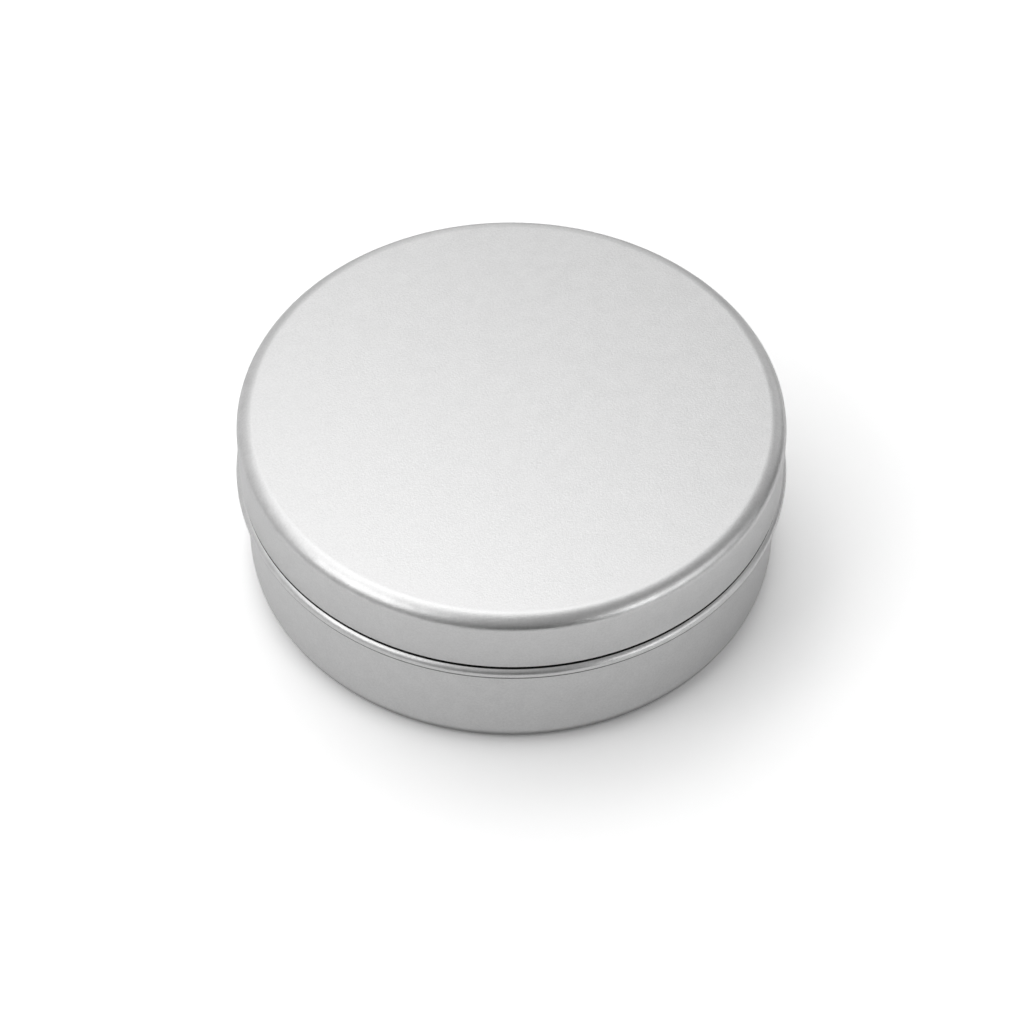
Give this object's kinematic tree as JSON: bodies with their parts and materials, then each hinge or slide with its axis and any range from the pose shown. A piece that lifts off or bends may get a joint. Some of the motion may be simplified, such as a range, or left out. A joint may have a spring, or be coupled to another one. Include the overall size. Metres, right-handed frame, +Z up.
{
  "type": "round candy tin",
  "caption": "Round drawn aluminium tin with a slip-on lid, a rolled bead that stops the lid, a curled mouth and a rounded foot, for sweets or small keepsakes.",
  "frame": {"origin": "middle of the plane that the tin's foot ring rests on", "axes": "+Z up along the tin's axis of turning, the way the lid lifts off"},
  "size_m": [0.0872, 0.0872, 0.0305],
  "materials": {
    "base_sheet": "satin, fine bead-blasted grain",
    "lid_sheet": "satin, fine bead-blasted grain"
  },
  "bodies": {
    "base": {"base": "base_sheet"},
    "lid": {"lid": "lid_sheet"}
  },
  "joints": [
    {"name": "lid_lift", "type": "slide", "parent": "base", "child": "lid", "axis": [0, 0, 1], "range_m": [0, 0.03]}
  ]
}
